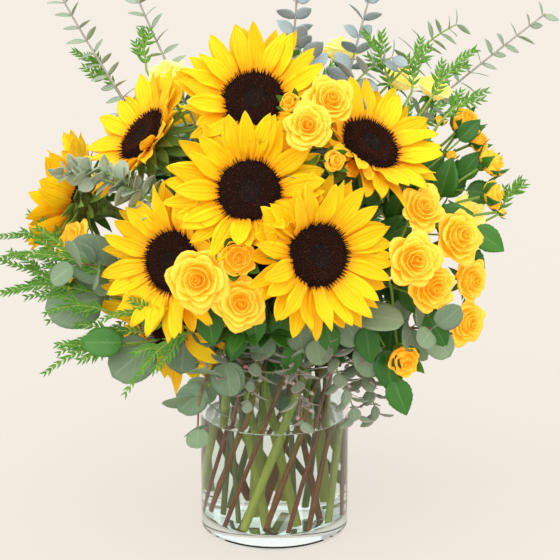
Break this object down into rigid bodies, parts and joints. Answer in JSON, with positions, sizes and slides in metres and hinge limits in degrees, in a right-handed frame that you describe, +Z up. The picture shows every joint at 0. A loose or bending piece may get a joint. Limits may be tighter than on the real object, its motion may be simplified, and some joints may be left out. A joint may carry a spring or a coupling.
{
  "type": "sunflowers in a vase",
  "caption": "Bouquet of sunflowers, small spray roses, eucalyptus and fern standing in a clear glass cylinder vase part filled with water.",
  "frame": {"origin": "centre of the vase's flat underside", "axes": "+Z up along the vase's axis; the bouquet's front faces -Y"},
  "size_m": [0.4401, 0.3209, 0.4623],
  "materials": {
    "vase_glass": "clear pressed glass, polished",
    "vase_water": "clear still water",
    "sunflower_petal": "satin ray petals with fine lengthwise veins",
    "sunflower_disc": "matt, velvety florets",
    "sunflower_stem": "green stem with short hairs",
    "rose_petal": "soft satin petals",
    "rose_stem": "smooth green to red-brown stem",
    "baby_eucalyptus": "waxy blue-grey leaf",
    "silver_dollar": "waxy grey-green leaf",
    "fern": "satin green leaflets"
  },
  "bodies": {
    "root": {"vase": "vase_glass", "water": "vase_water", "sunflower_1_stem": "sunflower_stem", "sunflower_1_petals": "sunflower_petal", "sunflower_1_disc": "sunflower_disc", "sunflower_2_stem": "sunflower_stem", "sunflower_2_petals": "sunflower_petal", "sunflower_2_disc": "sunflower_disc", "sunflower_3_stem": "sunflower_stem", "sunflower_3_petals": "sunflower_petal", "sunflower_3_disc": "sunflower_disc", "sunflower_4_stem": "sunflower_stem", "sunflower_4_petals": "sunflower_petal", "sunflower_4_disc": "sunflower_disc", "sunflower_5_stem": "sunflower_stem", "sunflower_5_petals": "sunflower_petal", "sunflower_5_disc": "sunflower_disc", "sunflower_6_stem": "sunflower_stem", "sunflower_6_petals": "sunflower_petal", "sunflower_6_disc": "sunflower_disc", "sunflower_7_stem": "sunflower_stem", "sunflower_7_petals": "sunflower_petal", "sunflower_7_disc": "sunflower_disc", "sunflower_8_stem": "sunflower_stem", "sunflower_8_petals": "sunflower_petal", "sunflower_8_disc": "sunflower_disc", "sunflower_9_stem": "sunflower_stem", "sunflower_9_petals": "sunflower_petal", "sunflower_9_disc": "sunflower_disc", "sunflower_10_stem": "sunflower_stem", "sunflower_10_petals": "sunflower_petal", "sunflower_10_disc": "sunflower_disc", "rose_spray_1": "rose_stem", "rose_spray_2": "rose_stem", "rose_spray_3": "rose_stem", "rose_spray_4": "rose_stem", "rose_spray_5": "rose_stem", "rose_spray_6": "rose_stem", "rose_spray_7": "rose_stem", "rose_bloom_1": "rose_petal", "rose_bloom_2": "rose_petal", "rose_bloom_3": "rose_petal", "rose_bloom_4": "rose_petal", "rose_bloom_5": "rose_petal", "rose_bloom_6": "rose_petal", "rose_bloom_7": "rose_petal", "rose_bloom_8": "rose_petal", "rose_bloom_9": "rose_petal", "baby_eucalyptus_1": "baby_eucalyptus", "baby_eucalyptus_2": "baby_eucalyptus", "baby_eucalyptus_3": "baby_eucalyptus", "baby_eucalyptus_4": "baby_eucalyptus", "baby_eucalyptus_5": "baby_eucalyptus", "silver_dollar_1": "silver_dollar", "silver_dollar_2": "silver_dollar", "silver_dollar_3": "silver_dollar", "silver_dollar_4": "silver_dollar", "seeded_eucalyptus_1": "silver_dollar", "fern_1": "fern", "fern_2": "fern"}
  },
  "joints": []
}
